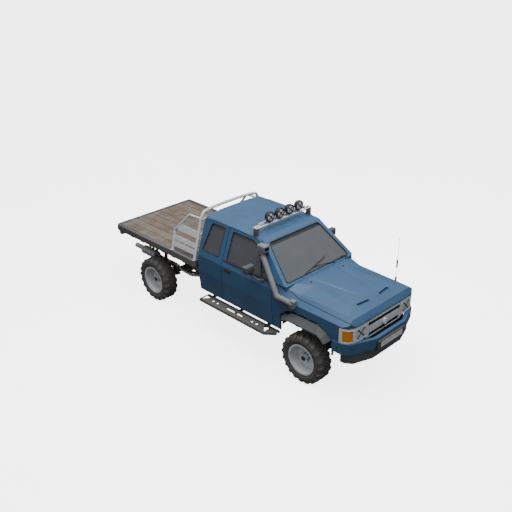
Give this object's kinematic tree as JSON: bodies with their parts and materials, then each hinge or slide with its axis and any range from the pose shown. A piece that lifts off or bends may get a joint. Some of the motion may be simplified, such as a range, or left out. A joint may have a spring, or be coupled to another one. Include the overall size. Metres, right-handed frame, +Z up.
{
  "type": "flatbed truck",
  "caption": "Four-wheel-drive extra-cab flatbed truck: ladder frame, boarded steel tray with headboard and wings, snorkel, roof lamps, opening doors and bonnet, steered and rolling wheels.",
  "frame": {"origin": "on the ground under the middle of the truck's box", "axes": "+Z up, +Y towards the tray's rear edge, the truck faces -Y and its right-hand side is at -X"},
  "size_m": [2.01, 5.31, 2.15],
  "materials": {
    "body_paint": "satin blue paint",
    "light_paint": "light grey paint",
    "rim_paint": "light grey paint",
    "dark_steel": "dark grey paint",
    "chassis_steel": "dusty brown-black paint",
    "red_paint": "red paint",
    "engine_metal": "cast",
    "exhaust_metal": "dull steel",
    "tyre": "dusty rubber",
    "glass": "tinted",
    "lamp": "clear lens",
    "tail_lamp": "lens",
    "dark_plastic": "dark grey",
    "grey_plastic": "grey",
    "boards": "weathered boards",
    "seat_cloth": "cloth"
  },
  "bodies": {
    "chassis": {"ladder_frame": "chassis_steel", "crossmembers": "chassis_steel", "frame_brackets": "chassis_steel", "front_axle": "chassis_steel", "rear_axle": "chassis_steel", "leaf_springs": "chassis_steel", "shock_absorbers": "red_paint", "engine_block": "engine_metal", "propshafts": "chassis_steel", "exhaust": "exhaust_metal", "fuel_tank": "dark_steel", "cab_shell": "body_paint", "cab_glass": "glass", "nose_panels": "body_paint", "grille": "light_paint", "headlights": "lamp", "wheel_arches": "dark_plastic", "front_bumper": "body_paint", "bumper_valance": "dark_plastic", "tray_frame": "dark_steel", "tray_boards": "boards", "headboard": "light_paint", "tail_lamps": "tail_lamp", "side_steps": "dark_steel", "snorkel": "grey_plastic", "light_bar": "light_paint", "roof_lamps": "dark_plastic", "aerial": "dark_steel", "seats": "seat_cloth", "dashboard": "dark_plastic"},
    "bonnet": {"bonnet": "body_paint"},
    "door_right": {"door_right": "body_paint", "door_glass_right": "glass", "mirror_right": "dark_plastic"},
    "knuckle_right": {"knuckle_right": "chassis_steel"},
    "door_left": {"door_left": "body_paint", "door_glass_left": "glass", "mirror_left": "dark_plastic"},
    "knuckle_left": {"knuckle_left": "chassis_steel"},
    "tie_rod": {"tie_rod": "chassis_steel"},
    "wheel_front_right": {"tyre_front_right": "tyre", "rim_front_right": "rim_paint"},
    "wheel_front_left": {"tyre_front_left": "tyre", "rim_front_left": "rim_paint"},
    "wheel_rear_right": {"tyre_rear_right": "tyre", "rim_rear_right": "rim_paint"},
    "wheel_rear_left": {"tyre_rear_left": "tyre", "rim_rear_left": "rim_paint"}
  },
  "joints": [
    {"name": "steer_right", "type": "hinge", "parent": "chassis", "child": "knuckle_right", "pos_m": [-0.61, -1.746, 0.385], "axis": [0, 0, 1], "range_deg": [-28, 28]},
    {"name": "steer_left", "type": "hinge", "parent": "chassis", "child": "knuckle_left", "pos_m": [0.61, -1.746, 0.385], "axis": [0, 0, 1], "range_deg": [-28, 28]},
    {"name": "tie_rod_swing", "type": "hinge", "parent": "knuckle_right", "child": "tie_rod", "pos_m": [-0.61, -1.596, 0.288], "axis": [0, 0, 1], "range_deg": [-28, 28]},
    {"name": "door_right_hinge", "type": "hinge", "parent": "chassis", "child": "door_right", "pos_m": [-0.8, -1.1, 1], "axis": [0, 0, 1], "range_deg": [0, 65]},
    {"name": "door_left_hinge", "type": "hinge", "parent": "chassis", "child": "door_left", "pos_m": [0.8, -1.1, 1], "axis": [0, 0, -1], "range_deg": [0, 65]},
    {"name": "bonnet_hinge", "type": "hinge", "parent": "chassis", "child": "bonnet", "pos_m": [0, -1.337, 1.346], "axis": [-1, 0, 0], "range_deg": [0, 50]},
    {"name": "spin_front_right", "type": "hinge", "parent": "knuckle_right", "child": "wheel_front_right", "pos_m": [-0.748, -1.746, 0.385], "axis": [1, 0, 0], "continuous": true},
    {"name": "spin_rear_right", "type": "hinge", "parent": "chassis", "child": "wheel_rear_right", "pos_m": [-0.748, 1.637, 0.385], "axis": [1, 0, 0], "continuous": true},
    {"name": "spin_front_left", "type": "hinge", "parent": "knuckle_left", "child": "wheel_front_left", "pos_m": [0.748, -1.746, 0.385], "axis": [1, 0, 0], "continuous": true},
    {"name": "spin_rear_left", "type": "hinge", "parent": "chassis", "child": "wheel_rear_left", "pos_m": [0.748, 1.637, 0.385], "axis": [1, 0, 0], "continuous": true}
  ],
  "couplings": [
    {"joint": "steer_left", "follows": "steer_right", "ratio": 1},
    {"joint": "tie_rod_swing", "follows": "steer_right", "ratio": -1}
  ]
}
